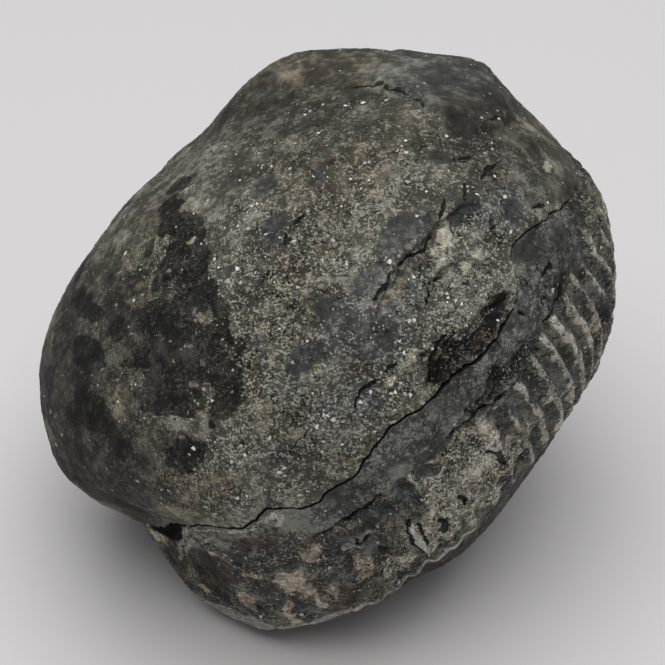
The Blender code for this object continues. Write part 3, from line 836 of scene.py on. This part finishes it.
# Partly painted shade: the left flank turned from the light and the hollow by the crust are darkened for
# their shade, the crown and the saddle for darker stone
DULL_AND_SHADED_SIDE = patches(
    (18, 20, 26, 25, 1.1), (-2, 30, 18, 25, 1.0), (36, 46, 14, 16, 0.9), (190, 62, 50, 30, 0.55),
    (158, 20, 18, 14, 0.72), (-110, 40, 90, 50, 0.4), (178, 28, 14, 12, 0.26),
    (157, 27.6, 4.5, 2.8, 1.4),
)
SLATE_PLATES = patches(
    (110, 61, 3.6, 2.6, 1.4), (98, 50, 3.6, 3, 1.3), (97, 17.5, 5.5, 3.6, 1.1),
    (102.5, 26.4, 3.4, 2.2, 1.5), (93, 27.5, 5, 2.4, 0.8), (82, 22, 6, 3, 0.7), (117, 28, 6, 2.6, 1.3),
    (131, 20.5, 6, 3, 0.7), (93, 47, 3.5, 2, 0.8), (123, 50, 4, 2.4, 0.8), (137, 12, 5, 3, 0.6),
    (143, 30, 7, 2.4, 0.6), (76, 29, 3, 4, 0.6), (84, 40, 3, 2.5, 0.5), (137, 52, 6, 2, 0.6),
    (66, 8, 6, 3, 0.5), (160, 60, 6, 2.4, 0.6), (180, 66, 6, 3, 0.5), (110, 72, 4, 3, 0.6),
    (205, 62, 6, 3, 0.6),
)
# painted shade: dark spots for the shade of pits and of the hollow by the crust
SHADED_CAP_PITS = patches(
    (157, 27.2, 2.6, 1.3, 0.5), (24, 25, 2.0, 1.6, 0.9), (58.5, 19, 0.8, 0.8, 0.9),
    (104.5, 46.5, 2.2, 0.7, 0.9), (97, 45, 1.4, 0.8, 0.8), (118, 11.5, 0.8, 0.8, 0.7),
    (70, 34, 1.0, 2.2, 0.8), (69, 29.5, 0.8, 1.6, 0.7), (121, 4.6, 1.8, 1.8, 0.9),
    (117, 2.2, 2.6, 1.1, 0.9), (101.5, 3.0, 1.6, 0.9, 0.9),
)
COOL_PATCHES = patches(
    (176, 29, 14, 13, 1.2), (100, 20, 16, 10, 0.9), (118, 26, 10, 4, 0.8), (136, 14, 10, 6, 0.8),
    (84, 10, 12, 7, 0.8), (150, 14, 8, 6, 0.6), (78, 20, 8, 6, 0.6), (64, 8, 8, 4, 0.5),
)
WARM_PATCHES = patches(
    (130, 48, 20, 14, 0.9), (205, 50, 20, 14, 1.0), (90, 40, 16, 10, 0.7), (150, 40, 14, 8, 0.7),
    (72, 22, 9, 9, 0.7), (165, 10, 9, 6, 0.8), (20, 62, 20, 12, 0.5), (48, 10, 12, 5, 0.8),
)
TAN_STAINS = patches(
    (203, 56, 5, 2, 0.8), (96, 2.8, 6, 1.1, 0.8), (38, 49.5, 6, 3, 0.55), (106.5, 21.2, 4.5, 1.1, 1.1),
    (54, 8.5, 9, 2.6, 0.7), (38, 4.5, 8, 2, 0.75), (78, 1, 1.0, 0.9, 0.9), (44, 49, 2.2, 1.0, 1.1),
    (70, 14, 6, 3, 0.6), (0, 17, 5, 2.4, 0.9), (152, 32, 1.2, 4, 0.7), (63.5, 41, 2.6, 2.0, 0.9),
    (150, 5, 4, 2, 0.5), (34, 28, 5, 5, 0.55), (57, 24, 5, 3.5, 0.6), (25, 58, 5, 1.5, 0.6),
    (38, 53, 5, 2, 0.55), (-14, 34, 9, 8, 0.55), (165, 12, 9, 5, 0.5), (232, 50, 14, 8, 0.6),
    (44, 7, 2, 2, 0.6), (128, 46, 5, 3, 0.45), (138, 44, 5, 3, 0.45),
)
CHALK = patches(
    (124, 20, 2.0, 1.5, 1.2), (120, 19.5, 2.0, 1.0, 0.9), (118.2, 17.5, 1.6, 0.9, 1.3),
    (126.5, 22.5, 1.4, 1.2, 0.8), (97.5, 8.5, 2.6, 1.3, 1.1), (101, 9.7, 2.0, 0.9, 1.0),
    # the spot at (63, 61) is a painted glint of light
    (93, 8.0, 2.2, 1.2, 0.7), (108.5, 8.8, 1.6, 1.0, 0.7), (63, 61, 3.0, 1.2, 0.62),
    (28, 58, 3.0, 1.0, 0.5), (155.3, 7.7, 2.2, 1.6, 0.9), (122, 13, 4, 2.5, 0.6), (86, 28, 8, 3, 0.3),
    (150, 33, 1.2, 2.6, 0.5), (110, 9, 3, 1.4, 0.55),
)
GRAIN_AREAS = patches(
    (100, 42, 32, 14, 1.0), (75, 27, 18, 12, 1.0), (85, 10, 30, 12, 1.1), (100, 28, 14, 7, 1.0),
    (130, 57, 22, 14, 0.4), (118, 13, 16, 9, 1.1), (55, 10, 14, 8, 0.8), (58, 62, 8, 8, 0.5),
    (112, 4, 15, 6, 1.0), (146, 22, 12, 9, 0.5), (52, 52, 13, 14, 0.6), (40, 30, 14, 14, 0.4),
)
SALT_AREAS = patches(
    (88, 9, 32, 9, 1.0), (100, 8, 14, 8, 1.6), (70, 20, 12, 12, 0.9), (112, 14, 12, 7, 1.1),
)


def crusted(turn, rise):
    """1 where the crust is left: below its edge, past the saddle."""
    turn = turn % 360.0
    edge = np.interp(turn, *zip(*CRUST_EDGE)) + 0.5 * rough(turn, rise, 4.0 * MM, 2)
    below = ramp(rise, edge + CRUST_SOFTNESS, edge - CRUST_SOFTNESS)
    return below * ramp(turn, 148.0, 158.0) * ramp(turn, 330.0, 295.0)


CAP_WAVER, FLAKE_WAVER = (2.4 * MM, 1.2), (1.6 * MM, 0.6)
GRAIN_RELIEF = 0.16 * MM


def cap_relief(turn, rise):
    """How far the cap's skin stands out from the body."""
    drawn = wavered(turn, rise, *CAP_WAVER)
    plate = CRUST_PLATE.height * ramp(reach(CRUST_PLATE, *drawn), 1.06, 0.95)
    relief = crusted(turn, rise) * np.maximum(plate, CRUST_STEP * ramp(turn % 360.0, 165.0, 180.0))
    relief += swelling(HOLLOW_BY_CRUST, turn, rise)
    chipped = ramp(reach(EDGE_CHIP, *drawn), 1.0, 0.85)
    above = ramp(rise - parting_rise(turn), 0.0, CHIP_LIP)
    depth = EDGE_CHIP.height * (0.25 + 0.75 * above) * (1.0 - 0.45 * ramp(turn, 106.0, 117.0))
    relief -= chipped * (depth + CHIP_ROUGHNESS * rough(turn, rise, 1.4 * MM, 3))
    for scar in FLAKE_SCARS:
        deepening = ramp(rise, scar.rise - scar.across, scar.rise + 0.7 * scar.across)
        relief -= scar.height * deepening * ramp(reach(scar, *drawn), 1.0, 0.92)
    relief -= FLAKE_LINE_DEPTH * lined(FLAKE_LINES, *wavered(turn, rise, *FLAKE_WAVER))
    relief += GRAIN_RELIEF * patched(GRAIN_AREAS, turn, rise) * fine_wear(turn, rise)
    return relief + weathering(turn, rise)


def cap_edge_drop(turn):
    """The cap keeps to the parting all the way round."""
    return 0.0 * turn


def cap_fields(turn, rise):
    """How much of each finish lies where on the cap."""
    drawn = wavered(turn, rise, *CAP_WAVER)
    chipped = patched(CHIP_STAINS, *drawn)
    above = rise - parting_rise(turn)
    return {
        "stain": patched(STAINS, *drawn),
        "slate": patched(SLATE_PLATES, *drawn),
        # painted shade: the chip darkens to black towards the parting, for the shade along it
        "pit": np.maximum(patched(SHADED_CAP_PITS, *drawn), 0.8 * chipped * ramp(above, 1.6, 0.5)),
        "dull": patched(DULL_AND_SHADED_SIDE, turn, rise),
        "cool": patched(COOL_PATCHES, *drawn),
        "warm": patched(WARM_PATCHES, *drawn),
        "tan": patched(TAN_STAINS, *drawn),
        "chalk": patched(CHALK, *drawn),
        "grain": patched(GRAIN_AREAS, *drawn),
        "salt": patched(SALT_AREAS, *drawn),
        "chip": chipped,
        "dark": lined(FLAKE_LINES, *wavered(turn, rise, *FLAKE_WAVER)),
        "crust": crusted(turn, rise),
    }


CAP_FINISHES = (
    Finish("cool", 0.003, 1.0, 0.2, 1.0, (30, 31, 30), (77, 78, 73), (154, 155, 147)),
    # the dull finish is partly painted shade
    Finish("dull", 0.004, 1.0, 0.3, 1.0, (18, 17, 14), (52, 50, 44), (106, 103, 93)),
    Finish("slate", 0.0016, 0.8, 0.10, 0.9, (26, 27, 27), (66, 67, 65), (120, 121, 116)),
    Finish("tan", 0.0012, 1.3, 0.15, 0.85, (66, 60, 49), (120, 112, 96), (170, 161, 143)),
    Finish("stain", 0.0018, 1.7, 0.09, 0.95, (11, 11, 10), (29, 29, 26), (72, 71, 65)),
    Finish("chalk", 0.0012, 1.5, 0.08, 1.0, (104, 100, 88), (166, 161, 144), (214, 209, 193)),
    Finish("chip", 0.0018, 1.1, 0.08, 0.92, (7, 6, 5), (32, 28, 23), (98, 89, 77)),
)

cap_stone, tree, shader = new_material("cap stone")
masks = masks_of(tree, CAP_FINISHES)
dull_and_shaded, crust = field(tree, "dull"), field(tree, "crust")
grit = total(tree, (1.15, field(tree, "grain")), (1.0, 0.32))
smoothed = total(tree, (-0.65, masks["slate"]), (-0.5, crust), (1.0, 1.0))
grit = maths(tree, "MULTIPLY", grit, smoothed)
grain = grouped(tree, stone_grain, {"Cloud": 0.62, "Grit": grit, "Wear And Shade": field(tree, "wear")})
tone, drift = grain["Tone"], grain["Drift"]
colour = toned(tree, tone, (28, 27, 24), (83, 81, 73), (170, 167, 155))
warm = toned(tree, tone, (31, 28, 23), (83, 78, 67), (166, 158, 141))
drifting = total(tree, (0.9, drift), (0.55, field(tree, "warm")))
colour = mixed(tree, ranged(tree, drifting, 0.0, 0.45), colour, warm)
colour = covered(tree, colour, tone, CAP_FINISHES, masks)
# painted shade in pits and along the chip
colour = mixed(tree, patch_of(tree, "pit", 0.0010, 1.2, 0.12, 0.9), colour, display(13, 12, 11))
covering = (-0.7, masks["stain"]), (-0.6, masks["chip"]), (-0.5, masks["slate"]), (-0.55, dull_and_shaded)
clean = total(tree, *covering, (1.0, 1.0))
share = maths(tree, "MULTIPLY", total(tree, (0.36, field(tree, "grain")), (1.0, 0.03)), clean)
salt = total(tree, (0.34, field(tree, "salt")), (0.16, field(tree, "grain")), (1.0, 0.03))
salt = maths(tree, "MULTIPLY", salt, clean)
colour, grains = with_crystals(tree, colour, 0.00034, salt, 0.42, (188, 186, 174))
colour, lumps = with_crystals(tree, colour, 0.0008, share, 0.36, (142, 138, 123), 0.65)
# partly painted highlights: white specks for pale grains and for the glint of light on them
sparkle = maths(tree, "MULTIPLY", share, 0.50)
colour, glints = with_crystals(tree, colour, 0.00050, sparkle, 0.40, (244, 242, 234), 0.7)
# painted shade in the cracks and along the steps
colour = mixed(tree, patch_of(tree, "dark", 0.0007, 1.2, 0.12, 0.9), colour, display(12, 11, 10))
# the broken face is dark brown, darkened further as painted shade in the gap
colour = mixed(tree, field(tree, "shaded broken face"), colour, display(30, 27, 23))
height = total(tree, (1.0, grain["Height"]), (0.35, grains), (0.4, lumps), (0.4, glints))
finish_stone(tree, shader, colour, height)

matrix_cap = half_nodule("matrix_cap_stone", 1, cap_relief, cap_edge_drop, cap_fields, cap_stone)
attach(matrix_cap, "root")
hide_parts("matrix_cap")

# ----------------------------------------------------------------------------------------------------------
# Ground, light and camera: a plain pale ground, one broad soft lamp close above with a little light all
# round, and a camera that looks down on the nodule from the front.

GROUND_SIZE = 3.0
ROOM_LIGHT = 0.19
LAMP_PLACE, LAMP_SIZE, LAMP_WATTS = Vector((-0.01, -0.03, 0.7)), 0.8, 5.0
LAMP_AIM = Vector((0.0, 0.0, 0.03))
LENS_MM, SENSOR_MM = 108.3, 36.0
CAMERA_PLACE, CAMERA_TILT = (1.59 * MM, -181.73 * MM, 179.77 * MM), 50.0

ground_mesh = bpy.data.meshes.new("ground")
sheet = bmesh.new()
bmesh.ops.create_grid(sheet, x_segments=2, y_segments=2, size=GROUND_SIZE / 2.0)
sheet.to_mesh(ground_mesh)
sheet.free()
ground_material, _, shader = new_material("pale ground")
shader.inputs["Base Color"].default_value = display(226, 224, 225)
shader.inputs["Roughness"].default_value = 0.95
shader.inputs["Specular IOR Level"].default_value = 0.1
ground_mesh.materials.append(ground_material)
ground = bpy.data.objects.new("ground", ground_mesh)
bpy.context.scene.collection.objects.link(ground)

world = bpy.data.worlds.new("studio")
world.use_nodes = True
world.node_tree.nodes["Background"].inputs["Color"].default_value = (1.0, 1.0, 1.0, 1.0)
world.node_tree.nodes["Background"].inputs["Strength"].default_value = ROOM_LIGHT
bpy.context.scene.world = world

lamp = bpy.data.lights.new("overhead", "AREA")
lamp.size = LAMP_SIZE
lamp.energy = LAMP_WATTS
light = bpy.data.objects.new("overhead", lamp)
light.location = LAMP_PLACE
light.rotation_euler = (LAMP_AIM - LAMP_PLACE).to_track_quat("-Z", "Y").to_euler()
bpy.context.scene.collection.objects.link(light)

lens = bpy.data.cameras.new("camera")
lens.sensor_width = SENSOR_MM
lens.lens = LENS_MM
lens.clip_start = 0.01
camera = bpy.data.objects.new("camera", lens)
camera.location = CAMERA_PLACE
camera.rotation_euler = (math.radians(CAMERA_TILT), 0.0, 0.0)
bpy.context.scene.collection.objects.link(camera)
bpy.context.scene.camera = camera
bpy.context.scene.view_settings.view_transform = "Standard"
